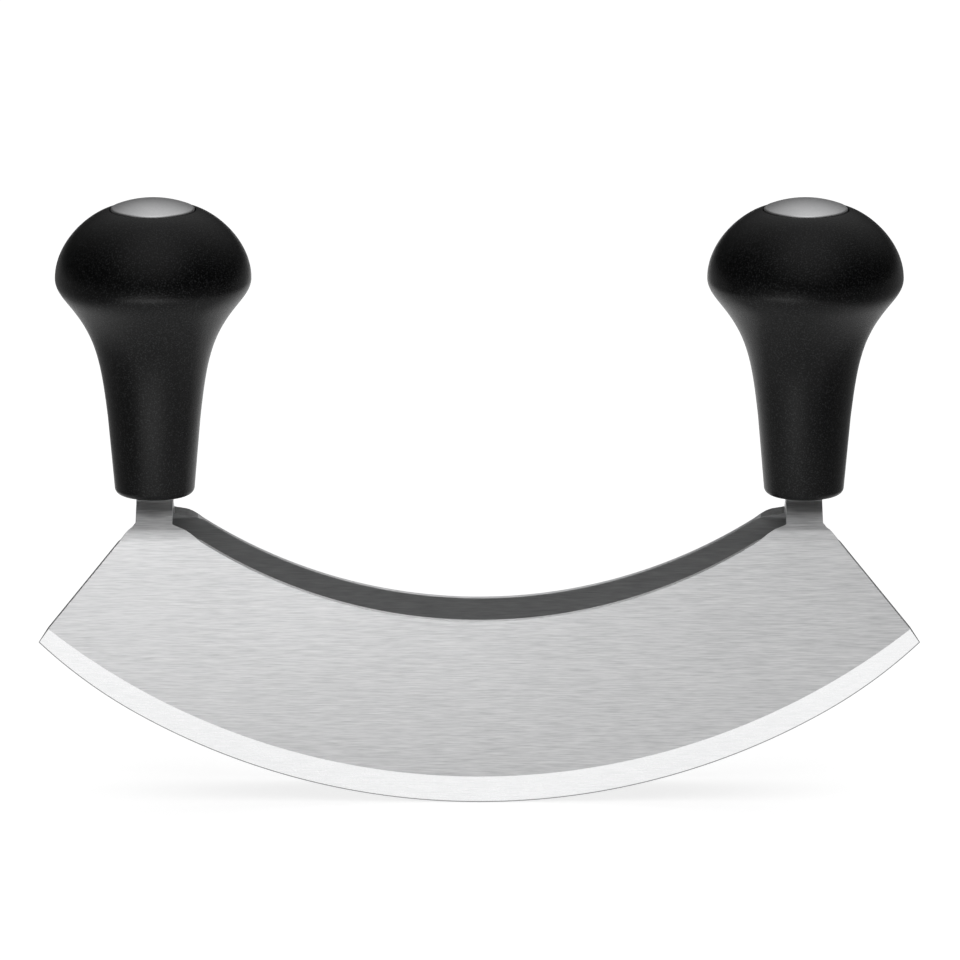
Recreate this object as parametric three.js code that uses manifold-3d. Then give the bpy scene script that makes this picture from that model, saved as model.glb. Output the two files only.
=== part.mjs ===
// Double mezzaluna: two curved chopping blades side by side, carried at both ends by turned grips.
// Millimetres, +Z up. X runs along the blades, Y across them, and the front is -Y.
// The origin is on the surface that the cutting edges stand on, below the middle of the box.

import * as THREE from "three";
import { mergeVertices } from "three/addons/utils/BufferGeometryUtils.js";
import Module from "manifold-3d";

const wasm = await Module();
wasm.setup();

// Driving sizes of the blades
const bladeChord = 230;
const bladeSpacing = 25;
const bladeThickness = 2.1;
const edgeRise = 41.7;
const tipRun = 25.3;
const tipEdgeRadius = 128;
const middleHeight = 49.2;
const grindWidth = 7.4;
const grindEndRise = 7.7;
const edgeLand = 0.4;
const tipInset = 0.7;
const rearEndSetIn = 2.7;

// Driving sizes of the necks, where each plate slants in to the middle, and of the tangs above. At the
// bend line the plate is wider than the neck by a reach, which it loses over a rise.
const gripSetIn = 30.25;
const neckWidth = 9.5;
const bendHeight = 70.4;
const bendInnerRadius = 1.55;
const innerRootReach = 7.9;
const innerRootRise = 4.6;
const outerRootReach = 4.4;
const outerRootRise = 4.5;
const rootBlend = 0.4;
const tangStraight = 0.4;
const tangWidth = 8;
const tangTopMargin = 2.2;

// Driving sizes of the grips
const gripBaseHeight = 80.5;
const gripHeight = 75.7;
const gripBaseRadius = 10.3;
const gripBaseFillet = 1.6;
const stemRadius = 12.1;
const stemHeight = 20.5;
const flankRadius = 22.07;
const flankDrop = 6.65;
const knobRadius = 25.55;
const knobDrop = 18.2;

// Driving sizes of the caps and of the fixings under them
const capRadius = 10.9;
const capEdge = 1.3;
const capDome = 2.3;
const capWall = 1;
const skirtRadius = 7.7;
const skirtDepth = 3.2;
const pocketDepth = 11;
const washerThickness = 1.6;
const pinRadius = 1.5;
const pinLength = 12;
const rivetRadius = 1.4;
const rivetHeadRadius = 2.4;
const rivetHeadDepth = 0.8;
const rivetRise = 11;

// Clearance where pieces seat or pass through each other, the overrun of every cut and join, and how
// far the grind's cut runs on past the tips
const fit = 0.3;
const overrun = 1;
const tipOverrun = 4;

// Shape of the grip's outline: slopes are radius per height, and pulls are shares of each stretch
const stemSlopeShare = 0.115;
const flankSlopeShare = 0.8;
const crownSlopeShare = 0.27;
const flankPullShares = [0.29, 0.5];
const lipPullShares = [0.354, 0.366];
const crownPullShares = [0.42, 0.49];

// Facets: the least distance and the largest turn between two points, and the steps of curves
const leastStep = 0.04;
const arcStep = THREE.MathUtils.degToRad(2);
const bendSteps = 9;
const rootSteps = 6;
const curveSteps = 8;
const domeSteps = 6;
const filletSteps = 4;
const gripSides = 40;
const smallSides = 20;

const bladeSteel = { color: 0xc6c7c9, roughness: 0.34, metalness: 1 };
const gripPlastic = { color: 0x17181a, roughness: 0.55, metalness: 0 };
const capSteel = { color: 0xa4a5a6, roughness: 0.4, metalness: 1 };
const fixingSteel = { color: 0x8d8f92, roughness: 0.45, metalness: 1 };

// Solids

// A closed geometry as a solid: shared corners merged, and faces without area left out.
function solidOf(geometry) {
  const bare = geometry.clone();
  bare.deleteAttribute("normal");
  bare.deleteAttribute("uv");
  const merged = mergeVertices(bare);
  const index = merged.index.array;
  const kept = [];
  for (let i = 0; i < index.length; i += 3) {
    const [a, b, c] = [index[i], index[i + 1], index[i + 2]];
    if (a !== b && b !== c && c !== a) kept.push(a, b, c);
  }
  return new wasm.Manifold(new wasm.Mesh({
    numProp: 3,
    vertProperties: new Float32Array(merged.attributes.position.array),
    triVerts: new Uint32Array(kept),
  }));
}

function geometryOf(solid) {
  const shell = solid.getMesh();
  const geometry = new THREE.BufferGeometry();
  geometry.setAttribute("position", new THREE.BufferAttribute(shell.vertProperties, 3));
  geometry.setIndex(new THREE.BufferAttribute(shell.triVerts, 1));
  geometry.computeVertexNormals();
  return geometry;
}

function meshOf(name, solid, finish) {
  const mesh = new THREE.Mesh(geometryOf(solid), new THREE.MeshStandardMaterial(finish));
  mesh.name = name;
  return mesh;
}

// A solid through sections that have the same corners, closed at both ends.
function loftOf(sections) {
  const corners = sections[0].length;
  const index = [];
  for (let s = 0; s + 1 < sections.length; s++) {
    for (let c = 0; c < corners; c++) {
      const here = s * corners + c;
      const beside = s * corners + (c + 1) % corners;
      index.push(here, beside, beside + corners, here, beside + corners, here + corners);
    }
  }
  const last = (sections.length - 1) * corners;
  for (let c = 1; c + 1 < corners; c++) {
    index.push(0, c + 1, c, last, last + c, last + c + 1);
  }
  const geometry = new THREE.BufferGeometry().setFromPoints(sections.flat());
  geometry.setIndex(index);
  return solidOf(geometry);
}

function boxOf(x, y, z) {
  const geometry = new THREE.BoxGeometry(x[1] - x[0], y[1] - y[0], z[1] - z[0]);
  geometry.translate((x[0] + x[1]) / 2, (y[0] + y[1]) / 2, (z[0] + z[1]) / 2);
  return solidOf(geometry);
}

// A turned solid about Z from outline points of radius and height, listed anticlockwise.
function turnedOf(outline, sides) {
  return solidOf(new THREE.LatheGeometry(outline, sides).rotateX(Math.PI / 2));
}

function point(x, y) {
  return new THREE.Vector2(x, y);
}

// Points of an arc whose angles are measured from straight down, towards +X.
function arcFromBelow(centre, radius, from, to) {
  const steps = Math.max(1, Math.ceil(Math.abs(to - from) / arcStep));
  return Array.from({ length: steps + 1 }, (_, i) => {
    const angle = from + (to - from) * i / steps;
    return point(centre.x + radius * Math.sin(angle), centre.y - radius * Math.cos(angle));
  });
}

// Outline points without those that fall on the point before them.
function distinct(points) {
  return points.filter((p, i) => i === 0 || p.distanceTo(points[i - 1]) > leastStep);
}

// Blades

const frontTipX = bladeChord / 2;
const gripSpacing = bladeChord - 2 * gripSetIn;
const neckInnerX = (gripSpacing - neckWidth) / 2;
const neckOuterX = (gripSpacing + neckWidth) / 2;

// The radius of an arc that rises so far over half its chord.
function arcRadius(halfChord, rise) {
  return (halfChord ** 2 + rise ** 2) / (2 * rise);
}

// The cutting edge: a long arc that touches the ground at the origin, and a tighter one to each tip.
const edgeRadius = arcRadius(frontTipX, edgeRise);
const mainEdgeAngle = Math.asin((frontTipX - tipRun) / edgeRadius);
const edgeCentre = point(0, edgeRadius);
const tipEdgeCentre = point(
  (edgeRadius - tipEdgeRadius) * Math.sin(mainEdgeAngle),
  edgeRadius - (edgeRadius - tipEdgeRadius) * Math.cos(mainEdgeAngle),
);

function tipAngle(tipX) {
  return Math.asin((tipX - tipEdgeCentre.x) / tipEdgeRadius);
}

function tipHeight(tipX) {
  return tipEdgeCentre.y - tipEdgeRadius * Math.cos(tipAngle(tipX));
}

function edgePoint(angle) {
  const size = Math.abs(angle);
  const main = Math.min(size, mainEdgeAngle);
  const centre = size > mainEdgeAngle ? tipEdgeCentre : edgeCentre;
  const radius = size > mainEdgeAngle ? tipEdgeRadius : edgeRadius;
  const turn = main + (size - main) * edgeRadius / tipEdgeRadius;
  const x = centre.x + radius * Math.sin(turn);
  return point(Math.sign(angle) * x, centre.y - radius * Math.cos(turn));
}

// The upper line of the grind, an arc of its own over the same chord.
const grindRadius = arcRadius(frontTipX, edgeRise + grindEndRise - grindWidth);
const grindCentre = point(0, grindWidth + grindRadius);

// How far a straight side is past the neck's own, eased into it.
function eased(past) {
  return (past + Math.hypot(past, rootBlend)) / 2;
}

// The concave top edge, as the distance from the middle at a height on the flat sheet: an arc up to the
// bend line, and from there a straight root to the neck.
const topEdgeEndX = neckInnerX - eased(innerRootReach);
const topEdgeRadius = arcRadius(topEdgeEndX, bendHeight - middleHeight);
const topEdgeCentre = point(0, middleHeight + topEdgeRadius);

function innerSide(height) {
  if (height > bendHeight) {
    return neckInnerX - eased(innerRootReach * (1 - (height - bendHeight) / innerRootRise));
  }
  return Math.sqrt(topEdgeRadius ** 2 - (topEdgeCentre.y - height) ** 2);
}

// The straight ends, all at the slopes of the front's: from its tip to the bend line, and on to the neck.
const endRun = frontTipX + tipInset - neckOuterX - outerRootReach;
const endRunPerRise = endRun / (bendHeight - tipHeight(frontTipX));
const rootRunPerRise = outerRootReach / outerRootRise;

// The distance of an end from the middle at a height on the flat sheet, for a tip's distance.
function outerSideOf(tipX) {
  const atTip = tipX + tipInset - neckOuterX;
  const atBend = atTip - (bendHeight - tipHeight(tipX)) * endRunPerRise;
  return (height) => {
    const runPerRise = height > bendHeight ? rootRunPerRise : endRunPerRise;
    return neckOuterX + eased(atBend - (height - bendHeight) * runPerRise);
  };
}

// Middle lines of a plate and of its tang, as distances from the middle of the whole.
const plateY = bladeSpacing / 2;
const tangY = (bladeThickness + fit) / 2;
const tangShoulderHeight = gripBaseHeight - fit;
const tangStartHeight = tangShoulderHeight - tangStraight;

// The slant between the two bends of a neck, which leads from the plate's plane to the tang's.
const bendRadius = bendInnerRadius + bladeThickness / 2;
const stepIn = plateY - tangY;
const stepUp = tangStartHeight - bendHeight;
const slantLength = Math.sqrt(stepIn ** 2 + stepUp ** 2 - 4 * bendRadius * stepIn);
const slantLean = Math.atan2(2 * bendRadius, slantLength) + Math.atan2(stepIn - 2 * bendRadius, stepUp);
const bendLength = bendRadius * slantLean;

// Where the bent strip is at a length along it, measured from the bend line: place and lean inwards.
function stripAt(length) {
  if (length <= 0) return { y: -plateY, z: bendHeight + length, lean: 0 };
  const lean = Math.min(length / bendRadius, slantLean);
  const onSlant = Math.min(length - bendLength, slantLength);
  if (onSlant < slantLength) {
    const past = Math.max(onSlant, 0);
    return {
      y: -plateY + bendRadius * (1 - Math.cos(lean)) + past * Math.sin(lean),
      z: bendHeight + bendRadius * Math.sin(lean) + past * Math.cos(lean),
      lean,
    };
  }
  const straight = length - 2 * bendLength - slantLength;
  const left = Math.max(-straight / bendRadius, 0);
  return {
    y: -tangY - bendRadius * (1 - Math.cos(left)),
    z: tangStartHeight - bendRadius * Math.sin(left) + Math.max(straight, 0),
    lean: left,
  };
}

// One neck: a strip slanted in over the gap between the blades, and up again against the other blade's.
function neckOf(outerSide) {
  const rootEnd = Math.max(innerRootRise, outerRootRise) + rootBlend;
  const tangStart = 2 * bendLength + slantLength;
  const lengths = new Set([-overrun, innerRootRise, outerRootRise, tangStart + tangStraight]);
  for (let i = 0; i <= bendSteps; i++) {
    const onBend = bendLength * i / bendSteps;
    lengths.add(onBend).add(tangStart - onBend);
  }
  for (let i = 1; i <= rootSteps; i++) lengths.add(rootEnd * i / rootSteps);
  const half = bladeThickness / 2;
  const sections = [...lengths].sort((a, b) => a - b).map((length) => {
    const { y, z, lean } = stripAt(length);
    const height = bendHeight + Math.max(length, 0);
    const across = new THREE.Vector3(0, half * Math.cos(lean), -half * Math.sin(lean));
    const middle = new THREE.Vector3(0, y, z);
    const corner = (x, side) => middle.clone().addScaledVector(across, side).setX(x);
    const [inner, outer] = [innerSide(height), outerSide(height)];
    return [corner(inner, -1), corner(outer, -1), corner(outer, 1), corner(inner, 1)];
  });
  return loftOf(sections);
}

function mirrored(solid) {
  return solid.mirror([1, 0, 0]);
}

// The wedge that the grind takes off along the outer face, down to a narrow land at the edge.
function grindCutter(tipX) {
  const end = mainEdgeAngle + (tipAngle(tipX) - mainEdgeAngle) * tipEdgeRadius / edgeRadius;
  const past = end + tipOverrun / edgeRadius;
  const steps = Math.ceil(2 * past / arcStep);
  const faceY = -plateY - bladeThickness / 2;
  const landY = faceY + bladeThickness - edgeLand;
  return loftOf(Array.from({ length: steps + 1 }, (_, i) => {
    const angle = -past + 2 * past * i / steps;
    const edge = edgePoint(angle);
    const grind = point(
      grindCentre.x + grindRadius * Math.sin(angle),
      grindCentre.y - grindRadius * Math.cos(angle),
    );
    const fall = edge.clone().sub(grind);
    const share = overrun / fall.length();
    const rise = landY - faceY;
    const above = grind.clone().addScaledVector(fall, -share);
    const below = edge.clone().addScaledVector(fall, share);
    return [
      new THREE.Vector3(above.x, faceY - rise * share, above.y),
      new THREE.Vector3(below.x, faceY - rise * share, below.y),
      new THREE.Vector3(below.x, landY + rise * share, below.y),
    ];
  }));
}

// The flat plate below the bend line, in its place with its outer face to the front.
function plateOf(tipX, outerSide) {
  const end = tipAngle(tipX);
  const main = arcFromBelow(edgeCentre, edgeRadius, 0, mainEdgeAngle);
  const tip = arcFromBelow(tipEdgeCentre, tipEdgeRadius, mainEdgeAngle, end);
  const innerX = innerSide(bendHeight);
  const innerAngle = Math.asin(innerX / topEdgeRadius);
  const top = arcFromBelow(topEdgeCentre, topEdgeRadius, innerAngle, 0);
  const right = [...main, ...tip, point(outerSide(bendHeight), bendHeight),
    point(innerX, bendHeight), ...top];
  const left = right.slice(1, -1).reverse().map((p) => point(-p.x, p.y));
  const outline = new THREE.Shape(distinct([...right, ...left]));
  const geometry = new THREE.ExtrudeGeometry(outline, { depth: bladeThickness, bevelEnabled: false });
  geometry.rotateX(Math.PI / 2);
  geometry.translate(0, -plateY + bladeThickness / 2, 0);
  return solidOf(geometry);
}

// Heights of the fixings inside a grip, from the floor of its pocket upwards.
const gripTopHeight = gripBaseHeight + gripHeight;
const pocketFloorHeight = gripTopHeight - capEdge - pocketDepth;
const washerHeight = pocketFloorHeight + fit;
const pinHeight = washerHeight + washerThickness + fit + pinRadius;
const tangTopHeight = pinHeight + pinRadius + tangTopMargin;
const rivetHeight = gripBaseHeight + rivetRise;
const tangsHalfDepth = bladeThickness + fit / 2;

// One blade in the front's place: the plate, its two necks and its two tangs, all of one sheet.
function bladeOf(setIn) {
  const tipX = frontTipX - setIn;
  const outerSide = outerSideOf(tipX);
  const tang = boxOf(
    [(gripSpacing - tangWidth) / 2, (gripSpacing + tangWidth) / 2],
    [-tangsHalfDepth, -fit / 2],
    [tangShoulderHeight - overrun, tangTopHeight],
  );
  const arm = neckOf(outerSide).add(tang)
    .subtract(placedAcross(pinSolid(fit), gripSpacing / 2, pinHeight))
    .subtract(placedAcross(rivetSolid(fit), gripSpacing / 2, rivetHeight));
  return plateOf(tipX, outerSide).add(arm).add(mirrored(arm)).subtract(grindCutter(tipX));
}

// Grips

function bezier(start, startPull, endPull, end) {
  return new THREE.CubicBezierCurve(start, startPull, endPull, end).getPoints(curveSteps).slice(1);
}

// The grip's outline from the middle of its base up the outside, and down into the cap's pocket.
function gripOutline() {
  const base = gripBaseHeight;
  const top = gripTopHeight;
  const seat = top - capEdge;
  const lipRadius = capRadius + fit;
  const stem = point(stemRadius, base + stemHeight);
  const knob = point(knobRadius, top - knobDrop);
  const flank = point(flankRadius, knob.y - flankDrop);
  const lip = point(lipRadius, top);
  const rise = flank.y - stem.y;
  const stemPull = point(
    stem.x + flankPullShares[1] * stemSlopeShare * rise,
    stem.y + flankPullShares[1] * rise,
  );
  const flankPull = point(
    flank.x - flankPullShares[0] * flankSlopeShare * rise,
    flank.y - flankPullShares[0] * rise,
  );
  const flankUp = point(
    flank.x + lipPullShares[1] * flankSlopeShare * flankDrop,
    flank.y + lipPullShares[1] * flankDrop,
  );
  const crownIn = crownPullShares[0] * (knobRadius - lipRadius);
  const fillet = [];
  for (let i = 0; i <= filletSteps; i++) {
    const turn = Math.PI / 2 * i / filletSteps;
    fillet.push(point(
      gripBaseRadius - gripBaseFillet * (1 - Math.sin(turn)),
      base + gripBaseFillet * (1 - Math.cos(turn)),
    ));
  }
  return [
    point(0, base),
    ...fillet,
    stem,
    ...bezier(stem, stemPull, flankPull, flank),
    ...bezier(flank, flankUp, point(knob.x, knob.y - lipPullShares[0] * flankDrop), knob),
    ...bezier(
      knob,
      point(knob.x, knob.y + crownPullShares[1] * knobDrop),
      point(lip.x + crownIn, lip.y - crownSlopeShare * crownIn),
      lip,
    ),
    point(lipRadius, seat),
    point(skirtRadius + fit, seat),
    point(skirtRadius + fit, pocketFloorHeight),
    point(0, pocketFloorHeight),
  ];
}

// The slot that the two tangs pass, the same in the grip and in the washer.
function tangSlot(from, to) {
  const halfWidth = tangWidth / 2 + fit;
  const halfDepth = tangsHalfDepth + fit;
  return boxOf([-halfWidth, halfWidth], [-halfDepth, halfDepth], [from - overrun, to + overrun]);
}

function gripSolid() {
  return turnedOf(gripOutline(), gripSides).subtract(tangSlot(gripBaseHeight, pocketFloorHeight));
}

// Caps and fixings

// The domed cap that covers the pocket: its edge on the seat, and a skirt down the pocket's wall.
function capSolid() {
  const edgeBottom = gripTopHeight - capEdge + fit;
  const domeStart = edgeBottom + capEdge;
  const domeRadius = (capRadius ** 2 + capDome ** 2) / (2 * capDome);
  const domeCentre = domeStart + capDome - domeRadius;
  const reach = Math.asin(capRadius / domeRadius);
  const dome = Array.from({ length: domeSteps + 1 }, (_, i) => {
    const angle = reach * (1 - i / domeSteps);
    return point(domeRadius * Math.sin(angle), domeCentre + domeRadius * Math.cos(angle));
  });
  dome[domeSteps].x = 0;
  const skirtBottom = edgeBottom - skirtDepth;
  return turnedOf([
    point(0, edgeBottom),
    point(skirtRadius - capWall, edgeBottom),
    point(skirtRadius - capWall, skirtBottom),
    point(skirtRadius, skirtBottom),
    point(skirtRadius, edgeBottom),
    point(capRadius, edgeBottom),
    ...dome,
  ], gripSides);
}

function washerSolid() {
  const outline = [
    point(0, washerHeight),
    point(skirtRadius, washerHeight),
    point(skirtRadius, washerHeight + washerThickness),
    point(0, washerHeight + washerThickness),
  ];
  const slot = tangSlot(washerHeight, washerHeight + washerThickness);
  return turnedOf(outline, gripSides).subtract(slot);
}

// The pin over the washer, standing on end; a margin makes the hole for it.
function pinSolid(margin) {
  const radius = pinRadius + margin;
  const half = pinLength / 2 + margin;
  return turnedOf([point(0, -half), point(radius, -half), point(radius, half), point(0, half)], smallSides);
}

// The rivet through the tangs, standing on end, with sunk heads flush with them.
function rivetSolid(margin) {
  const shank = rivetRadius + margin;
  const head = rivetHeadRadius + margin;
  const neck = tangsHalfDepth - rivetHeadDepth;
  const end = tangsHalfDepth + margin;
  const face = margin > 0 ? [point(head, end)] : [];
  const foot = margin > 0 ? [point(head, -end)] : [];
  return turnedOf([
    point(0, -end),
    ...foot,
    point(head, -tangsHalfDepth),
    point(shank, -neck),
    point(shank, neck),
    point(head, tangsHalfDepth),
    ...face,
    point(0, end),
  ], smallSides);
}

// A turned solid laid across the blades, through the middle of a grip, at a height.
function placedAcross(solid, x, height) {
  return solid.rotate([90, 0, 0]).translate([x, 0, height]);
}

// Assembly

const model = new THREE.Group();

model.add(meshOf("front_blade", bladeOf(0), bladeSteel));

const rear = new THREE.Group();
rear.rotation.z = Math.PI;
rear.add(meshOf("rear_blade", bladeOf(rearEndSetIn), bladeSteel));
model.add(rear);

for (const [side, x] of [["left", -gripSpacing / 2], ["right", gripSpacing / 2]]) {
  const stack = new THREE.Group();
  stack.position.x = x;
  stack.add(
    meshOf(`${side}_grip`, gripSolid(), gripPlastic),
    meshOf(`${side}_cap`, capSolid(), capSteel),
    meshOf(`${side}_washer`, washerSolid(), fixingSteel),
    meshOf(`${side}_retaining_pin`, placedAcross(pinSolid(0), 0, pinHeight), fixingSteel),
    meshOf(`${side}_tang_rivet`, placedAcross(rivetSolid(0), 0, rivetHeight), fixingSteel),
  );
  model.add(stack);
}

export default model;
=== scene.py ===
"""Looks of the double mezzaluna: two brushed steel blades, two black grips, satin steel caps.
Metres, +Z up. X runs along the blades, Y across them, and the front is -Y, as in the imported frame."""

import math

import bpy
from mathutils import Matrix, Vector


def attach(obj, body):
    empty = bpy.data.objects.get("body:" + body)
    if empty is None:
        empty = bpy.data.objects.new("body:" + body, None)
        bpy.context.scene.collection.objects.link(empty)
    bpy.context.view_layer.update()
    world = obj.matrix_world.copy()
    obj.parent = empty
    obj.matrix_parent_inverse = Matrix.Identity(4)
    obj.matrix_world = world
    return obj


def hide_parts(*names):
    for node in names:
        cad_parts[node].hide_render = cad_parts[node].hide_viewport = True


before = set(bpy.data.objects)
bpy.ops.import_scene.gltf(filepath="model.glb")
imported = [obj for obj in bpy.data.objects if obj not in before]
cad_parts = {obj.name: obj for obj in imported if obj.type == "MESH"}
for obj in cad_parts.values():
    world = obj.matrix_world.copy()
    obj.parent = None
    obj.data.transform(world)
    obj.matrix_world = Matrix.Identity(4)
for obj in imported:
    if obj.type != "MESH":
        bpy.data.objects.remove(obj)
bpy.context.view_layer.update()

MM = 0.001
DEGREE = math.pi / 180

# Sizes of the blades, as on the solids, in millimetres
BLADE_CHORD = 230
BLADE_SPACING = 25
BLADE_THICKNESS = 2.1
EDGE_RISE = 41.7
TIP_RUN = 25.3
TIP_EDGE_RADIUS = 128
MIDDLE_HEIGHT = 49.2
GRIND_WIDTH = 7.4
GRIND_END_RISE = 7.7
GRIND_DEPTH = 1.45
HONED_WIDTH = 0.36
HONED_DEPTH = 0.3
TIP_INSET = 0.7
REAR_END_SET_IN = 2.7
BURR_RADIUS = 0.16

# Sizes of the necks and tangs
GRIP_SET_IN = 30.25
NECK_WIDTH = 9.5
BEND_HEIGHT = 70.4
BEND_INNER_RADIUS = 1.55
INNER_ROOT_REACH = 7.9
INNER_ROOT_RISE = 4.6
OUTER_ROOT_REACH = 4.4
OUTER_ROOT_RISE = 4.5
ROOT_BLEND = 0.4
TANG_STRAIGHT = 0.4
TANG_WIDTH = 8
TANG_TOP_MARGIN = 2.2

# Sizes of the grips
GRIP_BASE_HEIGHT = 80.5
GRIP_HEIGHT = 75.7
GRIP_BASE_RADIUS = 10.3
GRIP_BASE_FILLET = 1.6
STEM_RADIUS = 12.1
STEM_HEIGHT = 20.5
FLANK_RADIUS = 22.07
FLANK_DROP = 6.65
KNOB_RADIUS = 25.55
KNOB_DROP = 18.2
LIP_FILLET = 0.35

# Sizes of the caps and fixings
CAP_RADIUS = 10.9
CAP_EDGE = 1.3
CAP_DOME = 2.3
CAP_FILLET = 0.45
CAP_WALL = 1
SKIRT_RADIUS = 7.7
SKIRT_DEPTH = 3.2
POCKET_DEPTH = 11
WASHER_THICKNESS = 1.6
PIN_RADIUS = 1.5
PIN_LENGTH = 12
RIVET_RADIUS = 1.4
RIVET_HEAD_RADIUS = 2.4
RIVET_HEAD_DEPTH = 0.8
RIVET_RISE = 11
FIT = 0.3
OVERRUN = 1

# Shape of the grip's outline
STEM_SLOPE_SHARE = 0.115
FLANK_SLOPE_SHARE = 0.8
CROWN_SLOPE_SHARE = 0.27
FLANK_PULL_SHARES = (0.29, 0.5)
LIP_PULL_SHARES = (0.354, 0.366)
CROWN_PULL_SHARES = (0.42, 0.49)

# Places that follow from the sizes
FRONT_TIP_X = BLADE_CHORD / 2
GRIP_X = FRONT_TIP_X - GRIP_SET_IN
NECK_INNER_X = GRIP_X - NECK_WIDTH / 2
NECK_OUTER_X = GRIP_X + NECK_WIDTH / 2
PLATE_Y = -BLADE_SPACING / 2
OUTER_SIDE_Y = PLATE_Y - BLADE_THICKNESS / 2
TANG_Y = -(BLADE_THICKNESS + FIT) / 2
SHOULDER_HEIGHT = GRIP_BASE_HEIGHT - FIT
BEND_RADIUS = BEND_INNER_RADIUS + BLADE_THICKNESS / 2
STEP_IN = TANG_Y - PLATE_Y
STEP_UP = SHOULDER_HEIGHT - TANG_STRAIGHT - BEND_HEIGHT
SLANT_LENGTH = math.sqrt(STEP_IN ** 2 + STEP_UP ** 2 - 4 * BEND_RADIUS * STEP_IN)
SLANT_LEAN = math.atan2(2 * BEND_RADIUS, SLANT_LENGTH) + math.atan2(STEP_IN - 2 * BEND_RADIUS, STEP_UP)
BEND_LENGTH = BEND_RADIUS * SLANT_LEAN
GRIP_TOP_HEIGHT = GRIP_BASE_HEIGHT + GRIP_HEIGHT
POCKET_FLOOR_HEIGHT = GRIP_TOP_HEIGHT - CAP_EDGE - POCKET_DEPTH
PIN_HEIGHT = POCKET_FLOOR_HEIGHT + FIT + WASHER_THICKNESS + FIT + PIN_RADIUS
TANG_TOP_HEIGHT = PIN_HEIGHT + PIN_RADIUS + TANG_TOP_MARGIN
RIVET_HEIGHT = GRIP_BASE_HEIGHT + RIVET_RISE
TANGS_HALF_DEPTH = BLADE_THICKNESS + FIT / 2
# How much longer the flat sheet is above the bend line than the bent one is high
BEND_EXCESS = 2 * BEND_LENGTH + SLANT_LENGTH - STEP_UP

# Fineness of curves
ARC_STEP = 1 * DEGREE
BEND_STEPS = 14
ROOT_STEPS = 24
CURVE_STEPS = 28
FILLET_STEPS = 8
TURNING_STEPS = 128
HOLE_STEPS = 48
BURR_STEPS = 2
HALVINGS = 60
RIM_REACH = 0.02
LINE_REACH = 0.01
ROW_REACH_SHARE = 1 / 8
WIDEST_END_ANGLE = 60 * DEGREE
MERGE_DISTANCE = MM / 1000
# Edges sharper than the first angle are deburred, and those sharper than the second stay crisp
SHARP_ANGLE = 32 * DEGREE
CREASE_ANGLE = 20 * DEGREE


# Modelling by hand: selecting, drawing a line, turning it

def leave_all():
    if bpy.context.mode != "OBJECT":
        bpy.ops.object.mode_set(mode="OBJECT")
    bpy.ops.object.select_all(action="DESELECT")


def pick(piece):
    leave_all()
    piece.select_set(True)
    bpy.context.view_layer.objects.active = piece


def edit(piece, kind="VERT"):
    pick(piece)
    bpy.ops.object.mode_set(mode="EDIT")
    bpy.ops.mesh.select_mode(type=kind)


def select_points(piece, wanted):
    """Selects the points whose place, in millimetres, is wanted."""
    edit(piece)
    bpy.ops.mesh.select_all(action="DESELECT")
    bpy.ops.object.mode_set(mode="OBJECT")
    for vertex in piece.data.vertices:
        vertex.select = wanted(vertex.co / MM)
    bpy.ops.object.mode_set(mode="EDIT")


def select_edges(piece, wanted):
    """Selects the edges whose two ends, in millimetres, are wanted."""
    edit(piece, "EDGE")
    bpy.ops.mesh.select_all(action="DESELECT")
    bpy.ops.object.mode_set(mode="OBJECT")
    places = [vertex.co / MM for vertex in piece.data.vertices]
    for line in piece.data.edges:
        line.select = wanted(places[line.vertices[0]], places[line.vertices[1]])
    bpy.ops.object.mode_set(mode="EDIT")


def apply_modifier(piece, kind, **settings):
    pick(piece)
    modifier = piece.modifiers.new(kind.lower(), kind)
    for name, value in settings.items():
        setattr(modifier, name, value)
    bpy.ops.object.modifier_apply(modifier=modifier.name)


def cut(piece, cutter):
    """Takes the cutter's shape out of the piece, and the cutter away."""
    apply_modifier(piece, "BOOLEAN", operation="DIFFERENCE", solver="EXACT", object=cutter)
    bpy.data.objects.remove(cutter)


def move(piece, offset):
    edit(piece)
    bpy.ops.mesh.select_all(action="SELECT")
    bpy.ops.transform.translate(value=[length * MM for length in offset])
    leave_all()


def turn(angle, axis, centre=(0, 0, 0)):
    """Turns what is selected about an axis through a point, given in millimetres."""
    bpy.ops.transform.rotate(
        value=angle,
        orient_axis=axis,
        orient_type="GLOBAL",
        center_override=[length * MM for length in centre],
    )


def close_up():
    """Merges points that lie together in the piece that is being edited, and turns its faces outward."""
    bpy.ops.mesh.select_all(action="SELECT")
    bpy.ops.mesh.remove_doubles(threshold=MERGE_DISTANCE)
    bpy.ops.mesh.normals_make_consistent(inside=False)
    bpy.ops.object.mode_set(mode="OBJECT")


def smooth(piece):
    """Shades the piece smooth, apart from its creases."""
    pick(piece)
    bpy.ops.object.shade_smooth_by_angle(angle=CREASE_ANGLE)
    leave_all()


def put_down(piece):
    """The finished piece's object is at the origin, with its place in its mesh."""
    pick(piece)
    bpy.ops.object.transform_apply(location=True, rotation=True, scale=True)


def start_line(name, start):
    """A piece that is one selected point, to draw on from."""
    leave_all()
    bpy.ops.mesh.primitive_plane_add(size=MM, location=start * MM)
    piece = bpy.context.object
    piece.name = name
    piece.data.name = name
    put_down(piece)
    edit(piece)
    bpy.ops.mesh.select_all(action="SELECT")
    bpy.ops.mesh.merge(type="CENTER")
    return piece


def draw_through(points):
    """Draws straight lines from the selected point through points, given in millimetres."""
    here = points[0]
    for there in points[1:]:
        bpy.ops.mesh.extrude_region_move(TRANSFORM_OT_translate={"value": (there - here) * MM})
        here = there


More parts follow.
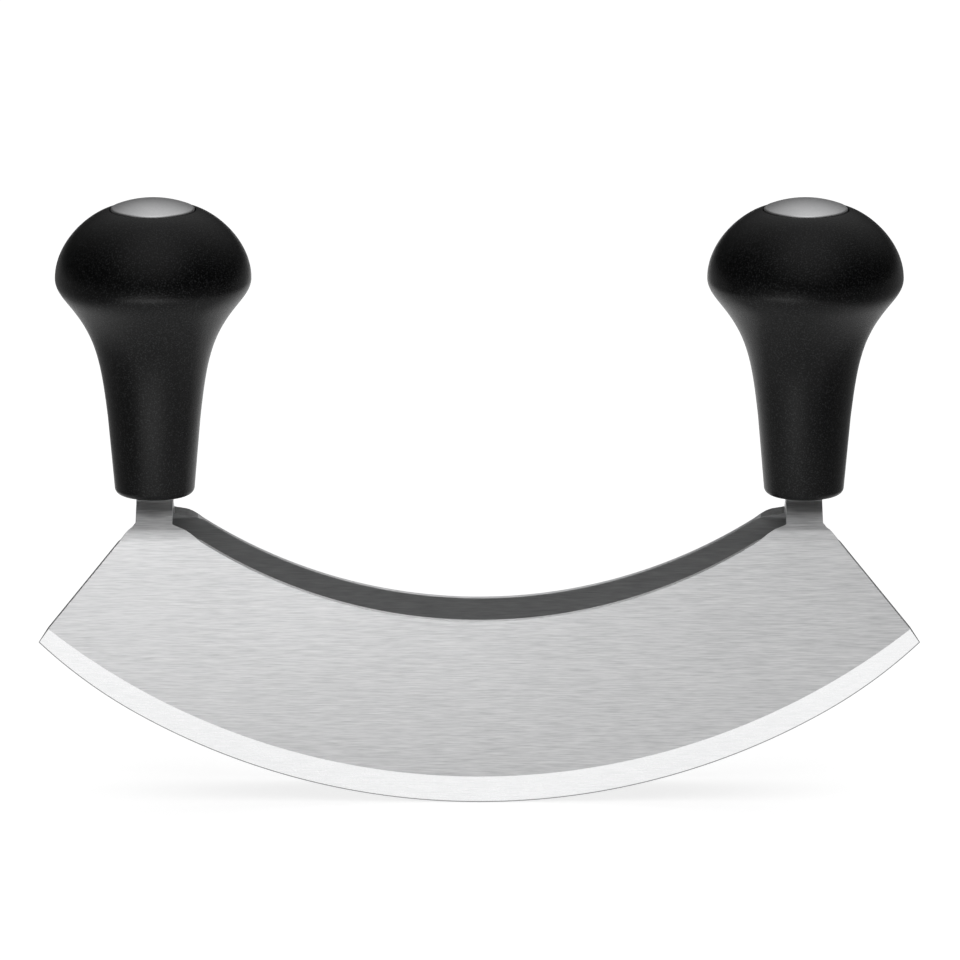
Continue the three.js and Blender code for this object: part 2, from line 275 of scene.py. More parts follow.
def draw_chain(points):
    """A further line in the piece that is being edited, from its first point to its last."""
    bpy.ops.mesh.select_all(action="DESELECT")
    bpy.ops.object.mode_set(mode="OBJECT")
    bpy.ops.object.mode_set(mode="EDIT")
    bpy.ops.mesh.primitive_plane_add(size=MM, location=points[0] * MM)
    bpy.ops.mesh.merge(type="CENTER")
    draw_through(points)


def arc_points(centre, radius, start, end, steps):
    """Points in the plane of the sheet; angles are from straight down, towards +X."""
    places = []
    for step in range(steps + 1):
        angle = start + (end - start) * step / steps
        x = centre[0] + radius * math.sin(angle)
        z = centre[1] - radius * math.cos(angle)
        places.append(Vector((x, PLATE_Y, z)))
    return places


def arc_radius(half_chord, rise):
    """The radius of an arc with this rise over half its chord."""
    return (half_chord ** 2 + rise ** 2) / (2 * rise)


# Turned pieces: half an outline is drawn, spun, and its rims are rounded

def turned(name, outline, steps=TURNING_STEPS):
    """A solid turned about Z from points of radius and height."""
    points = [Vector((radius, 0, height)) for radius, height in outline]
    piece = start_line(name, points[0])
    draw_through(points)
    bpy.ops.mesh.select_all(action="SELECT")
    bpy.ops.mesh.spin(steps=steps, angle=2 * math.pi, center=(0, 0, 0), axis=(0, 0, 1))
    close_up()
    return piece


def round_rim(piece, radius, height, fillet, steps=FILLET_STEPS):
    """Rounds the rim at a radius and height."""
    def on_rim(place):
        return abs(math.hypot(place.x, place.y) - radius) < RIM_REACH and abs(place.z - height) < RIM_REACH
    select_edges(piece, lambda a, b: on_rim(a) and on_rim(b))
    bpy.ops.mesh.bevel(offset=fillet * MM, segments=steps, affect="EDGES", clamp_overlap=False)
    bpy.ops.object.mode_set(mode="OBJECT")


def curve_points(start, start_pull, end_pull, end):
    """Points of a smooth curve after its start, from its two ends and their pulls."""
    places = []
    for step in range(1, CURVE_STEPS + 1):
        far = step / CURVE_STEPS
        near = 1 - far
        shares = (near ** 3, 3 * near * near * far, 3 * near * far * far, far ** 3)
        corners = (start, start_pull, end_pull, end)
        places.append(tuple(sum(share * c[i] for share, c in zip(shares, corners)) for i in (0, 1)))
    return places


def grip(name):
    """A turned knob on a tapered stem, with a pocket under the cap and a slot for the two tangs."""
    base, top = GRIP_BASE_HEIGHT, GRIP_TOP_HEIGHT
    lip_radius = CAP_RADIUS + FIT
    stem = (STEM_RADIUS, base + STEM_HEIGHT)
    knob = (KNOB_RADIUS, top - KNOB_DROP)
    flank = (FLANK_RADIUS, knob[1] - FLANK_DROP)
    rise = flank[1] - stem[1]
    stem_pull = (
        stem[0] + FLANK_PULL_SHARES[1] * STEM_SLOPE_SHARE * rise,
        stem[1] + FLANK_PULL_SHARES[1] * rise,
    )
    flank_pull = (
        flank[0] - FLANK_PULL_SHARES[0] * FLANK_SLOPE_SHARE * rise,
        flank[1] - FLANK_PULL_SHARES[0] * rise,
    )
    flank_up = (
        flank[0] + LIP_PULL_SHARES[1] * FLANK_SLOPE_SHARE * FLANK_DROP,
        flank[1] + LIP_PULL_SHARES[1] * FLANK_DROP,
    )
    crown_in = CROWN_PULL_SHARES[0] * (KNOB_RADIUS - lip_radius)
    outline = [(0, base), (GRIP_BASE_RADIUS, base), stem]
    outline += curve_points(stem, stem_pull, flank_pull, flank)
    outline += curve_points(flank, flank_up, (knob[0], knob[1] - LIP_PULL_SHARES[0] * FLANK_DROP), knob)
    outline += curve_points(
        knob,
        (knob[0], knob[1] + CROWN_PULL_SHARES[1] * KNOB_DROP),
        (lip_radius + crown_in, top - CROWN_SLOPE_SHARE * crown_in),
        (lip_radius, top),
    )
    outline += [
        (lip_radius, top - CAP_EDGE),
        (SKIRT_RADIUS + FIT, top - CAP_EDGE),
        (SKIRT_RADIUS + FIT, POCKET_FLOOR_HEIGHT),
        (0, POCKET_FLOOR_HEIGHT),
    ]
    piece = turned(name, outline)
    round_rim(piece, GRIP_BASE_RADIUS, base, GRIP_BASE_FILLET)
    round_rim(piece, lip_radius, top, LIP_FILLET)
    slot_height = (base + POCKET_FLOOR_HEIGHT) / 2
    leave_all()
    bpy.ops.mesh.primitive_cube_add(size=MM, location=(0, 0, slot_height * MM))
    cutter = bpy.context.object
    cutter.scale = (
        TANG_WIDTH + 2 * FIT,
        2 * (TANGS_HALF_DEPTH + FIT),
        POCKET_FLOOR_HEIGHT - base + 2 * OVERRUN,
    )
    put_down(cutter)
    cut(piece, cutter)
    return piece


def cap(name):
    """A dome with a flat rim, and a skirt down the wall of the grip's pocket."""
    bottom = GRIP_TOP_HEIGHT - CAP_EDGE + FIT
    dome_start = bottom + CAP_EDGE
    dome_radius = (CAP_RADIUS ** 2 + CAP_DOME ** 2) / (2 * CAP_DOME)
    dome_centre = dome_start + CAP_DOME - dome_radius
    reach = math.asin(CAP_RADIUS / dome_radius)
    outline = [
        (0, bottom),
        (SKIRT_RADIUS - CAP_WALL, bottom),
        (SKIRT_RADIUS - CAP_WALL, bottom - SKIRT_DEPTH),
        (SKIRT_RADIUS, bottom - SKIRT_DEPTH),
        (SKIRT_RADIUS, bottom),
        (CAP_RADIUS, bottom),
    ]
    for step in range(CURVE_STEPS):
        angle = reach * (1 - step / CURVE_STEPS)
        outline.append((dome_radius * math.sin(angle), dome_centre + dome_radius * math.cos(angle)))
    outline.append((0, dome_start + CAP_DOME))
    piece = turned(name, outline)
    round_rim(piece, CAP_RADIUS, dome_start, CAP_FILLET)
    return piece


# Blades: a flat sheet is drawn, filled, bent, given its thickness, ground and deburred

EDGE_RADIUS = arc_radius(FRONT_TIP_X, EDGE_RISE)
MAIN_EDGE_ANGLE = math.asin((FRONT_TIP_X - TIP_RUN) / EDGE_RADIUS)
EDGE_CENTRE = (0, EDGE_RADIUS)
TIP_EDGE_CENTRE = (
    (EDGE_RADIUS - TIP_EDGE_RADIUS) * math.sin(MAIN_EDGE_ANGLE),
    EDGE_RADIUS - (EDGE_RADIUS - TIP_EDGE_RADIUS) * math.cos(MAIN_EDGE_ANGLE),
)
GRIND_RADIUS = arc_radius(FRONT_TIP_X, EDGE_RISE + GRIND_END_RISE - GRIND_WIDTH)
GRIND_CENTRE = (0, GRIND_WIDTH + GRIND_RADIUS)


def eased(past):
    """How far a straight side is past the neck's own, eased into it."""
    return (past + math.hypot(past, ROOT_BLEND)) / 2


TOP_EDGE_END_X = NECK_INNER_X - eased(INNER_ROOT_REACH)
TOP_EDGE_RADIUS = arc_radius(TOP_EDGE_END_X, BEND_HEIGHT - MIDDLE_HEIGHT)
TOP_EDGE_CENTRE = (0, MIDDLE_HEIGHT + TOP_EDGE_RADIUS)


def tip_angle(tip_x):
    """The angle on the tip's arc at which the edge reaches the tip."""
    return math.asin((tip_x - TIP_EDGE_CENTRE[0]) / TIP_EDGE_RADIUS)


def tip_height(tip_x):
    return TIP_EDGE_CENTRE[1] - TIP_EDGE_RADIUS * math.cos(tip_angle(tip_x))


END_RUN = FRONT_TIP_X + TIP_INSET - NECK_OUTER_X - OUTER_ROOT_REACH
END_RUN_PER_RISE = END_RUN / (BEND_HEIGHT - tip_height(FRONT_TIP_X))


def end_x(tip_x, height):
    """Where the slanted end is at a height on the flat sheet: from the tip to the neck's outer side."""
    at_bend = tip_x + TIP_INSET - (BEND_HEIGHT - tip_height(tip_x)) * END_RUN_PER_RISE - NECK_OUTER_X
    run_per_rise = OUTER_ROOT_REACH / OUTER_ROOT_RISE if height > BEND_HEIGHT else END_RUN_PER_RISE
    return NECK_OUTER_X + eased(at_bend - (height - BEND_HEIGHT) * run_per_rise)


def inner_root_x(height):
    """Where the inner side of the neck's root is at a height on the flat sheet."""
    return NECK_INNER_X - eased(INNER_ROOT_REACH * (1 - (height - BEND_HEIGHT) / INNER_ROOT_RISE))


def grind_end_angle(tip_x):
    """The angle at which the grind's upper line meets the slanted end."""
    low, high = 0, WIDEST_END_ANGLE
    for _ in range(HALVINGS):
        angle = (low + high) / 2
        x = GRIND_RADIUS * math.sin(angle)
        height = GRIND_CENTRE[1] - GRIND_RADIUS * math.cos(angle)
        low, high = (angle, high) if x < end_x(tip_x, height) else (low, angle)
    return low


def sheet_lines(tip_x):
    """The flat sheet's lines: edge, honed line, grind's upper line, and the rest of its outline."""
    main_steps = math.ceil(MAIN_EDGE_ANGLE / ARC_STEP)
    tip_steps = math.ceil((tip_angle(tip_x) - MAIN_EDGE_ANGLE) / ARC_STEP)
    edge = arc_points(EDGE_CENTRE, EDGE_RADIUS, 0, MAIN_EDGE_ANGLE, main_steps)
    edge += arc_points(
        TIP_EDGE_CENTRE, TIP_EDGE_RADIUS, MAIN_EDGE_ANGLE, tip_angle(tip_x), tip_steps
    )[1:]
    grind = arc_points(GRIND_CENTRE, GRIND_RADIUS, 0, MAIN_EDGE_ANGLE, main_steps)
    grind += arc_points(
        GRIND_CENTRE, GRIND_RADIUS, MAIN_EDGE_ANGLE, grind_end_angle(tip_x), tip_steps
    )[1:]
    honed = [low.lerp(high, HONED_WIDTH / (high - low).length) for low, high in zip(edge, grind)]

    def at(x, height):
        return Vector((x, PLATE_Y, height))

    low = BEND_HEIGHT - ROOT_BLEND
    high = BEND_HEIGHT + max(INNER_ROOT_RISE, OUTER_ROOT_RISE) + 2 * ROOT_BLEND
    root = [low + (high - low) * step / ROOT_STEPS for step in range(ROOT_STEPS + 1)]
    rest = [grind[-1]] + [at(end_x(tip_x, height), height) for height in root]
    tang_inner_x, tang_outer_x = GRIP_X - TANG_WIDTH / 2, GRIP_X + TANG_WIDTH / 2
    shoulder, top = SHOULDER_HEIGHT + BEND_EXCESS, TANG_TOP_HEIGHT + BEND_EXCESS
    rest += [
        at(NECK_OUTER_X, shoulder),
        at(tang_outer_x, shoulder),
        at(tang_outer_x, top),
        at(tang_inner_x, top),
        at(tang_inner_x, shoulder),
        at(NECK_INNER_X, shoulder),
    ]
    rest += [at(inner_root_x(height), height) for height in reversed(root) if height > BEND_HEIGHT]
    top_angle = math.asin(TOP_EDGE_END_X / TOP_EDGE_RADIUS)
    rest += arc_points(
        TOP_EDGE_CENTRE, TOP_EDGE_RADIUS, top_angle, 0, math.ceil(top_angle / ARC_STEP)
    )
    return edge, honed, grind, rest


def close_to(line):
    """A test for the points of a drawn line."""
    def wanted(place):
        return any((place - point).length < LINE_REACH for point in line)
    return wanted


def bridge(piece, low, high):
    """Faces between two drawn lines that have as many points."""
    on_low, on_high = close_to(low), close_to(high)
    select_edges(piece, lambda a, b: (on_low(a) and on_low(b)) or (on_high(a) and on_high(b)))
    bpy.ops.mesh.bridge_edge_loops()


def bend_sheet(piece):
    """Slants the neck in over the gap between the blades and turns it up again, row by row from the top."""
    row = BEND_LENGTH / BEND_STEPS
    lower = [BEND_HEIGHT + row * (step + 0.5) for step in range(BEND_STEPS)]
    upper = [height + BEND_LENGTH + SLANT_LENGTH for height in lower]
    for height in lower + upper:
        edit(piece)
        bpy.ops.mesh.select_all(action="SELECT")
        bpy.ops.mesh.bisect(plane_co=(0, 0, height * MM), plane_no=(0, 0, 1))
    for heights, side in ((upper, -1), (lower, 1)):
        for height in reversed(heights):
            select_points(piece, lambda place: place.z > height + row * ROW_REACH_SHARE)
            turn(side * SLANT_LEAN / BEND_STEPS, "X", (0, PLATE_Y, height))


def drill(piece, outline, height):
    """A round hole through the tang at each grip; its outline is turned and laid along Y."""
    for side in (1, -1):
        cutter = turned("cutter", outline, HOLE_STEPS)
        edit(cutter)
        bpy.ops.mesh.select_all(action="SELECT")
        turn(90 * DEGREE, "X")
        bpy.ops.transform.translate(value=(side * GRIP_X * MM, 0, height * MM))
        leave_all()
        cut(piece, cutter)


def folded(place):
    """A place as seen from the front, with the blade's left half laid over its right."""
    return Vector((abs(place.x), 0, place.z))


def grind_edge(piece, edge, honed):
    """Takes the outer face down to the cutting edge, and hones a narrow steeper face along it."""
    for line, depth in ((honed, GRIND_DEPTH), (edge, GRIND_DEPTH + HONED_DEPTH)):
        on_line = close_to([folded(point) for point in line])
        select_points(piece, lambda place: place.y < PLATE_Y and on_line(folded(place)))
        bpy.ops.transform.translate(value=(0, depth * MM, 0))


def deburr(piece, edge, grind):
    """Rounds every sharp edge a little, apart from the cutting edge and the grind's upper line."""
    kept = close_to([folded(point) for point in edge + grind])
    edit(piece, "EDGE")
    bpy.ops.mesh.select_all(action="DESELECT")
    bpy.ops.mesh.edges_select_sharp(sharpness=SHARP_ANGLE)
    bpy.ops.object.mode_set(mode="OBJECT")
    places = [folded(vertex.co) / MM for vertex in piece.data.vertices]
    for line in piece.data.edges:
        if all(kept(places[end]) for end in line.vertices):
            line.select = False
    bpy.ops.object.mode_set(mode="EDIT")
    bpy.ops.mesh.bevel(offset=BURR_RADIUS * MM, segments=BURR_STEPS, affect="EDGES", clamp_overlap=True)
    bpy.ops.object.mode_set(mode="OBJECT")


def below_grind_line(place):
    """How far a place is below the grind's upper line."""
    return math.hypot(place.x - GRIND_CENTRE[0], place.z - GRIND_CENTRE[1]) - GRIND_RADIUS


def crisp_grind_line(piece):
    """Keeps the flat side of the sheet and its grind from being shaded into each other."""
    def on_line(place):
        on_outer_side = abs(place.y - OUTER_SIDE_Y) < RIM_REACH
        return on_outer_side and abs(below_grind_line(place)) < RIM_REACH
    select_edges(piece, lambda a, b: on_line(a) and on_line(b))
    bpy.ops.mesh.mark_sharp()
    leave_all()


def blade(name, set_in):
    """One blade in the front's place, with its tips set in by so much."""
    tip_x = FRONT_TIP_X - set_in
    edge, honed, grind, rest = sheet_lines(tip_x)
    piece = start_line(name, edge[0])
    draw_through(edge)
    draw_chain(honed)
    draw_chain(grind)
    draw_through(rest)
    bridge(piece, edge, honed)
    bridge(piece, honed, grind)
    select_points(piece, close_to(grind + rest))
    bpy.ops.mesh.edge_face_add()
    bend_sheet(piece)
    close_up()
    apply_modifier(piece, "MIRROR", use_clip=True, merge_threshold=MERGE_DISTANCE)
    apply_modifier(piece, "SOLIDIFY", thickness=BLADE_THICKNESS * MM, offset=0, use_even_offset=True)
    edit(piece)
    bpy.ops.mesh.select_all(action="SELECT")
    bpy.ops.mesh.normals_make_consistent(inside=False)
    grind_edge(piece, edge, honed)
    deburr(piece, edge, grind)
    drill(piece, [
        (0, -PIN_LENGTH),
        (PIN_RADIUS + FIT, -PIN_LENGTH),
        (PIN_RADIUS + FIT, PIN_LENGTH),
        (0, PIN_LENGTH),
    ], PIN_HEIGHT)
    rivet_neck = TANGS_HALF_DEPTH - RIVET_HEAD_DEPTH
    rivet_end = TANGS_HALF_DEPTH + OVERRUN
    drill(piece, [
        (0, -rivet_end),
        (RIVET_HEAD_RADIUS + FIT, -rivet_end),
        (RIVET_HEAD_RADIUS + FIT, -TANGS_HALF_DEPTH),
        (RIVET_RADIUS + FIT, -rivet_neck),
        (RIVET_RADIUS + FIT, rivet_neck),
        (RIVET_HEAD_RADIUS + FIT, TANGS_HALF_DEPTH),
        (RIVET_HEAD_RADIUS + FIT, rivet_end),
        (0, rivet_end),
    ], RIVET_HEIGHT)
    smooth(piece)
    crisp_grind_line(piece)
    return piece


# Finishes, with painted shade and painted glow among them

# The Mix node's sockets for a share, two colours and the colour that comes out
MIX_SHARE, MIX_ONE, MIX_OTHER, MIX_RESULT = 0, 6, 7, 2


def material(name, **sockets):
    """A new material, with the values that are the same all over set on its shader."""
    made = bpy.data.materials.new(name)
    made.use_nodes = True
    shader = made.node_tree.nodes["Principled BSDF"]
    for socket, value in sockets.items():
        shader.inputs[socket.replace("_", " ")].default_value = value
    return made, made.node_tree.nodes, made.node_tree.links, shader


def node(nodes, kind, **settings):
    """A new node with its settings."""
    made = nodes.new(kind)
    for name, value in settings.items():
        setattr(made, name, value)
    return made


def grain(nodes, links, frequencies, detail=4.0, roughness=0.6, shift=(0, 0, 0)):
    """Noise of so many waves a metre along X, Y and Z of the object."""
    place = node(nodes, "ShaderNodeTexCoord")
    mapping = node(nodes, "ShaderNodeMapping")
    mapping.inputs["Location"].default_value = shift
    mapping.inputs["Scale"].default_value = frequencies
    noise = node(nodes, "ShaderNodeTexNoise")
    noise.inputs["Scale"].default_value = 1
    noise.inputs["Detail"].default_value = detail
    noise.inputs["Roughness"].default_value = roughness
    links.new(place.outputs["Object"], mapping.inputs["Vector"])
    links.new(mapping.outputs["Vector"], noise.inputs["Vector"])
    return noise.outputs["Fac"]


def spread(nodes, links, source, low, high, source_low=0.3, source_high=0.7):
    """A value that runs from low to high as its source does; noise is mostly from 0.3 to 0.7."""
    ranged = node(nodes, "ShaderNodeMapRange")
    ranged.inputs["From Min"].default_value = source_low
    ranged.inputs["From Max"].default_value = source_high
    ranged.inputs["To Min"].default_value = low
    ranged.inputs["To Max"].default_value = high
    links.new(source, ranged.inputs["Value"])
    return ranged.outputs["Result"]


def blend(nodes, links, share, one, other):
    """A colour between two, by a share."""
    mix = node(nodes, "ShaderNodeMix", data_type="RGBA")
    mix.inputs[MIX_ONE].default_value = (*one, 1)
    mix.inputs[MIX_OTHER].default_value = (*other, 1)
    links.new(share, mix.inputs[MIX_SHARE])
    return mix.outputs[MIX_RESULT]


def add_up(nodes, links, one, other, share):
    """One value and a share of another."""
    sum_up = node(nodes, "ShaderNodeMath", operation="MULTIPLY_ADD")
    links.new(other, sum_up.inputs[0])
    sum_up.inputs[1].default_value = share
    links.new(one, sum_up.inputs[2])
    return sum_up.outputs[0]


def relief(nodes, links, shader, height, strength, depth):
    """Raises the surface where a value is high, by a depth in millimetres."""
    bump = node(nodes, "ShaderNodeBump")
    bump.inputs["Strength"].default_value = strength
    bump.inputs["Distance"].default_value = depth * MM
    links.new(height, bump.inputs["Height"])
    links.new(bump.outputs["Normal"], shader.inputs["Normal"])


# Brushed steel blurs what it mirrors across its grain, a quarter turn from the grain itself
BRUSHING = 0.85
ACROSS_THE_GRAIN = 0.25


def brushed_steel(name, dark, light, least_rough, most_rough):
    """Stainless sheet, brushed along its length."""
    made, nodes, links, shader = material(
        name, Metallic=1.0, Anisotropic=BRUSHING, Anisotropic_Rotation=ACROSS_THE_GRAIN
    )
    lines = grain(nodes, links, (180, 1500, 3800), detail=2, roughness=0.65)
    strokes = grain(nodes, links, (90, 900, 2200), detail=2, roughness=0.5)
    cloud = grain(nodes, links, (14, 14, 20), detail=2, roughness=0.5)
    pattern = add_up(nodes, links, lines, strokes, share=0.3)
    tone = spread(nodes, links, pattern, 0, 1, source_low=0.4, source_high=0.9)
    links.new(blend(nodes, links, tone, dark, light), shader.inputs["Base Color"])
    worn = add_up(nodes, links, lines, cloud, share=0.5)
    rough = spread(nodes, links, worn, least_rough, most_rough, source_low=0.5, source_high=1)
    links.new(rough, shader.inputs["Roughness"])
    relief(nodes, links, shader, pattern, strength=0.25, depth=0.02)
    return made


def brushed_blade_steel():
    """The outer sides of the blades, brushed bright."""
    return brushed_steel(
        "brushed_blade_steel",
        dark=(0.51, 0.515, 0.52),
        light=(0.79, 0.79, 0.795),
        least_rough=0.4,
        most_rough=0.5,
    )


def inner_blade_painted_shade():
    """The sides that face each other: a duller surface, darkened with painted shade for the gap between the
    blades.
    """
    return brushed_steel(
        "inner_blade_painted_shade",
        # These darker colours are painted shade.
        dark=(0.27, 0.272, 0.275),
        light=(0.41, 0.412, 0.415),
        least_rough=0.42,
        most_rough=0.52,
    )


def ground_steel(name, dark, light):
    """Steel that a fine wheel has ground."""
    made, nodes, links, shader = material(name, Metallic=1.0)
    lines = grain(nodes, links, (160, 1500, 3800), detail=2, roughness=0.6)
    tone = spread(nodes, links, lines, 0, 1)
    links.new(blend(nodes, links, tone, dark, light), shader.inputs["Base Color"])
    links.new(spread(nodes, links, lines, low=0.22, high=0.3), shader.inputs["Roughness"])
    relief(nodes, links, shader, lines, strength=0.15, depth=0.006)
    return made


def ground_blade_steel():
    """The ground face along the cutting edge, finer and brighter than the sheet."""
    return ground_steel("ground_blade_steel", dark=(0.81, 0.815, 0.82), light=(0.9, 0.9, 0.905))


def honed_edge_painted_shade():
    """The narrow honed face, darkened with painted shade for the shadow it would mirror beneath the blade,
    so it shows as a thin grey line along the cutting edge.
    """
    # These dark greys are painted shade.
    return ground_steel("honed_edge_painted_shade", dark=(0.26, 0.262, 0.265), light=(0.34, 0.342, 0.345))


def satin_cap_steel():
    """The caps, evenly dulled by fine grit."""
    made, nodes, links, shader = material("satin_cap_steel", Metallic=1.0)
    grit = grain(nodes, links, (2600, 2600, 2600), detail=2, roughness=0.6)
    cloud = grain(nodes, links, (90, 90, 90), detail=2, roughness=0.5)
    pattern = add_up(nodes, links, grit, cloud, share=0.5)
    tone = spread(nodes, links, pattern, 0, 1, source_low=0.5, source_high=1)
    colour = blend(nodes, links, tone, (0.5, 0.505, 0.51), (0.6, 0.6, 0.605))
    links.new(colour, shader.inputs["Base Color"])
    links.new(spread(nodes, links, grit, low=0.34, high=0.44), shader.inputs["Roughness"])
    relief(nodes, links, shader, grit, strength=0.15, depth=0.01)
    return made


def plain_fixing_steel():
    """Pins, rivets and washers, with the marks of turning and stamping."""
    made, nodes, links, shader = material("plain_fixing_steel", Metallic=1.0)
    lines = grain(nodes, links, (400, 4000, 400), detail=3, roughness=0.6)
    tone = spread(nodes, links, lines, 0, 1)
    colour = blend(nodes, links, tone, (0.4, 0.405, 0.41), (0.52, 0.52, 0.53))
    links.new(colour, shader.inputs["Base Color"])
    links.new(spread(nodes, links, lines, low=0.35, high=0.5), shader.inputs["Roughness"])
    relief(nodes, links, shader, lines, strength=0.2, depth=0.01)
    return made


def textured_grip_plastic():
    """Black moulded plastic with a fine eroded texture, and lighter specks in its colour that are painted
    glints.
    """
    made, nodes, links, shader = material(
        "textured_grip_plastic", Metallic=0.0, Specular_IOR_Level=0.135
    )
    grit = grain(nodes, links, (2300, 2300, 2300), detail=2, roughness=0.6)
    # Painted glints: lighter specks in the plastic's colour.
    painted_glints = grain(nodes, links, (2900, 2900, 2900), detail=0, shift=(3, 5, 7))
    cloud = grain(nodes, links, (60, 60, 60), detail=2, roughness=0.5)
    pattern = add_up(nodes, links, painted_glints, cloud, share=0.1)
    tone = spread(nodes, links, pattern, 0, 1, source_low=0.58, source_high=0.78)
    colour = blend(nodes, links, tone, (0.0015, 0.0016, 0.0017), (0.016, 0.0164, 0.017))
    links.new(colour, shader.inputs["Base Color"])
    dull = add_up(nodes, links, grit, cloud, share=0.4)
    rough = spread(nodes, links, dull, low=0.26, high=0.36, source_low=0.45, source_high=0.95)
    links.new(rough, shader.inputs["Roughness"])
    relief(nodes, links, shader, grit, strength=0.6, depth=0.08)
    return made


# Pools of light painted on the floor as glow: one below and behind the object, and one in front of it. Each
# has the places, in metres, where its sides begin and where they have faded in.
BACK_POOL = {
    "strength": 0.75,
    "left": (-0.24, -0.18),
    "right": (0.24, 0.18),
    "front": (-0.3, -0.2),
    "back": (3, 2),
}
FRONT_POOL = {
    "strength": 3.8,
    "left": (-0.38, -0.18),
    "right": (0.15, -0.05),
    "front": (-1.1, -0.4),
    "back": (-0.17, -0.27),
}


def glow_pool(nodes, links, axes, strength, left, right, front, back):
    """A patch of the floor that glows and fades in from each of its four sides."""
    faded = None
    for axis, side in (("X", left), ("X", right), ("Y", front), ("Y", back)):
        inward = spread(nodes, links, axes.outputs[axis], 0, 1, *side)
        if faded is None:
            faded = spread(nodes, links, inward, 0, strength, source_low=0, source_high=1)
            continue
        product = node(nodes, "ShaderNodeMath", operation="MULTIPLY")
        links.new(faded, product.inputs[0])
        links.new(inward, product.inputs[1])
        faded = product.outputs[0]
    return faded


def pale_floor():
    """A nearly even pale floor, with two pools of painted glow on it."""
    made, nodes, links, shader = material("pale_floor", Roughness=0.7)
    cloud = grain(nodes, links, (3, 3, 3), detail=2)
    tone = spread(nodes, links, cloud, 0, 1)
    colour = blend(nodes, links, tone, (0.5, 0.5, 0.5), (0.52, 0.52, 0.52))
    links.new(colour, shader.inputs["Base Color"])
    shader.inputs["Emission Color"].default_value = (1, 1, 1, 1)
    place = node(nodes, "ShaderNodeTexCoord")
    axes = node(nodes, "ShaderNodeSeparateXYZ")
    links.new(place.outputs["Object"], axes.inputs["Vector"])
    back_pool = glow_pool(nodes, links, axes, **BACK_POOL)
    front_pool = glow_pool(nodes, links, axes, **FRONT_POOL)
    glow = add_up(nodes, links, back_pool, front_pool, share=1)
    links.new(glow, shader.inputs["Emission Strength"])
    return made


blade_steel = brushed_blade_steel()
inner_steel = inner_blade_painted_shade()
grind_steel = ground_blade_steel()
edge_steel = honed_edge_painted_shade()
cap_steel = satin_cap_steel()
fixing_steel = plain_fixing_steel()
grip_plastic = textured_grip_plastic()


def finish_with(piece, *finishes):
    """Gives the piece these finishes in place of its own."""
    piece.data.materials.clear()
    for finish in finishes:
        piece.data.materials.append(finish)


# The blades, each the same sheet, the rear one turned to face the back

# How deep below the flat side the ground faces are, at least, and how squarely faces look to the
# front or back: the grind, the part of it that isn't honed, and the inner side
GRIND_REACH = 0.05
GRIND_FACING = 0.4
HONED_FACING = 0.9
INNER_FACING = 0.3
# Places of these materials on a blade, after the sheet's own: the grind's finish, the inner side's painted
# shade and the honed line's painted shade
GRIND_FINISH, INNER_PAINTED_SHADE, HONED_PAINTED_SHADE = 1, 2, 3
# The brushing runs round the middle of the texture space. That middle is a metre in front of the
# blade, so the brushing runs along X all over it.
GRAIN_REACH = 1


def finish_and_shade_faces(piece):
    """Gives the blade's grind its own finish, and its honed line and inner side their painted shade."""
    finish_with(piece, blade_steel, grind_steel, inner_steel, edge_steel)
    for face in piece.data.polygons:
        centre = face.center / MM
        sunk = below_grind_line(centre) > 0 and centre.y > OUTER_SIDE_Y + GRIND_REACH
        if sunk and face.normal.y < -GRIND_FACING:
            # The grind's less squarely facing faces are the honed line, which gets painted shade.
            face.material_index = GRIND_FINISH if face.normal.y < -HONED_FACING else HONED_PAINTED_SHADE
        # The inner side gets the material with painted shade.
        elif face.normal.y > INNER_FACING:
            face.material_index = INNER_PAINTED_SHADE


def finished_blade(name, set_in, node_name, turned_round):
    """A blade with its finishes and painted shade, in its own place and standing in for its node."""
    piece = blade(name, set_in)
    finish_and_shade_faces(piece)
    piece.data.use_auto_texspace = False
    piece.data.texspace_location = (0, -GRAIN_REACH, 0)
    piece.data.texspace_size = (GRAIN_REACH, GRAIN_REACH, GRAIN_REACH)
    if turned_round:
        edit(piece)
        bpy.ops.mesh.select_all(action="SELECT")
        turn(180 * DEGREE, "Z")
        leave_all()
    put_down(piece)
    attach(piece, "root")
    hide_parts(node_name)


finished_blade("front_blade_steel", 0, "front_blade", False)
finished_blade("rear_blade_steel", REAR_END_SET_IN, "rear_blade", True)


# Grips and caps, modelled once and copied

def copy_to(piece, name, x):
    """A copy of a piece that is modelled on the Z axis, moved to its own place."""
    leave_all()
    twin = piece.copy()
    twin.data = piece.data.copy()
    twin.name = twin.data.name = name
    bpy.context.scene.collection.objects.link(twin)
    move(twin, (x, 0, 0))
    return twin


def pair(piece, stem, node_stem, finish):
    """Moves the piece to the left-hand grip's place, and its copy to the right-hand one's."""
    smooth(piece)
    finish_with(piece, finish)
    right = copy_to(piece, "right_" + stem, GRIP_X)
    move(piece, (-GRIP_X, 0, 0))
    for made, side in ((piece, "left_"), (right, "right_")):
        put_down(made)
        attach(made, "root")
        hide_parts(side + node_stem)


pair(grip("left_moulded_grip"), "moulded_grip", "grip", grip_plastic)
pair(cap("left_domed_cap"), "domed_cap", "cap", cap_steel)

for side in ("left", "right"):
    for kind in ("washer", "retaining_pin", "tang_rivet"):
        finish_with(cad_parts[f"{side}_{kind}"], fixing_steel)


# Floor, light and camera

FLOOR_SIZE = 12
FLOOR_PLACE = (0, 2, 0)

leave_all()
bpy.ops.mesh.primitive_plane_add(size=FLOOR_SIZE, location=FLOOR_PLACE)
floor = bpy.context.object
floor.name = "pale_floor"
put_down(floor)
finish_with(floor, pale_floor())

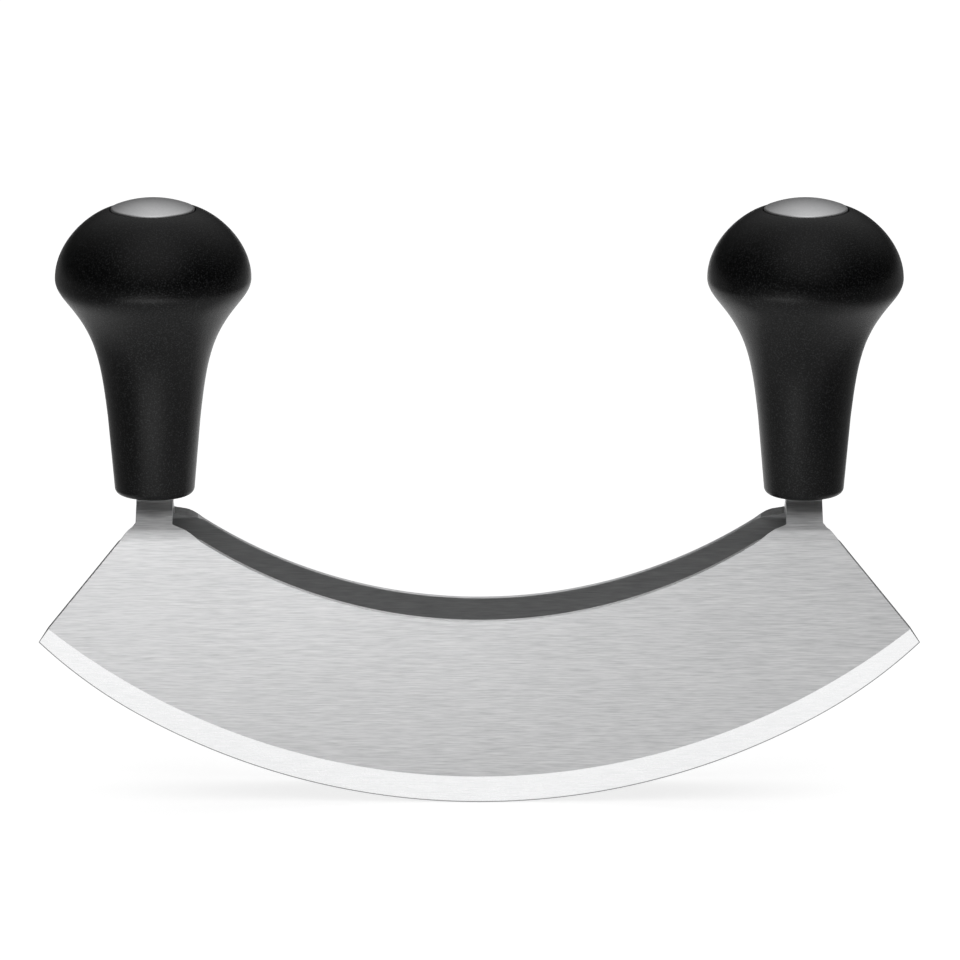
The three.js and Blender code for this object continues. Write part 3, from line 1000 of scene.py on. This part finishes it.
# The sky is dark near the horizon. It brightens towards a wide light overhead, a little behind
# the object, and towards a small soft one high in front. A light's reach is the cosine of the angle
# from its middle at which it begins.
TOP_LIGHT = {
    "towards": Vector((0.1, 0.3, 0.95)).normalized(),
    "strength": 1.1,
    "fall": 2.4,
    "reach": 0.25,
}
FILL_LIGHT = {
    "towards": Vector((0, -0.57, 0.82)).normalized(),
    "strength": 1.05,
    "fall": 1,
    "reach": 0.72,
}
SKY_LOW = 0.03

world = bpy.data.worlds.new("soft_studio")
bpy.context.scene.world = world
world.use_nodes = True
sky, sky_links = world.node_tree.nodes, world.node_tree.links
direction = node(sky, "ShaderNodeTexCoord")


def sky_light(towards, strength, fall, reach):
    """A light in the sky that fades with the angle from its middle, down to half the sky's low."""
    nearness = node(sky, "ShaderNodeVectorMath", operation="DOT_PRODUCT")
    nearness.inputs[1].default_value = towards
    sky_links.new(direction.outputs["Generated"], nearness.inputs[0])
    faded = node(sky, "ShaderNodeMath", operation="POWER")
    share = spread(sky, sky_links, nearness.outputs["Value"], 0, 1, source_low=reach, source_high=1)
    sky_links.new(share, faded.inputs[0])
    faded.inputs[1].default_value = fall
    return spread(sky, sky_links, faded.outputs[0], SKY_LOW / 2, strength, source_low=0, source_high=1)


lit = add_up(sky, sky_links, sky_light(**TOP_LIGHT), sky_light(**FILL_LIGHT), share=1)
sky_links.new(lit, sky["Background"].inputs["Strength"])
sky["Background"].inputs["Color"].default_value = (1, 1, 1, 1)


CAMERA_DISTANCE = 2.6
CAMERA_ELEVATION = 13.44 * DEGREE
CAMERA_AIM = Vector((0.00018, 0, 0.08392))
CAMERA_LENS = 373.4
CAMERA_SENSOR = 36
CAMERA_REACH = 50
camera_data = bpy.data.cameras.new("camera")
camera_data.sensor_width = CAMERA_SENSOR
camera_data.lens = CAMERA_LENS
camera_data.clip_end = CAMERA_REACH
camera = bpy.data.objects.new("camera", camera_data)
bpy.context.scene.collection.objects.link(camera)
back = Vector((0, -math.cos(CAMERA_ELEVATION), math.sin(CAMERA_ELEVATION)))
camera.location = CAMERA_AIM + back * CAMERA_DISTANCE
camera.rotation_euler = (-back).to_track_quat("-Z", "Y").to_euler()
bpy.context.scene.camera = camera
bpy.context.scene.view_settings.view_transform = "Standard"
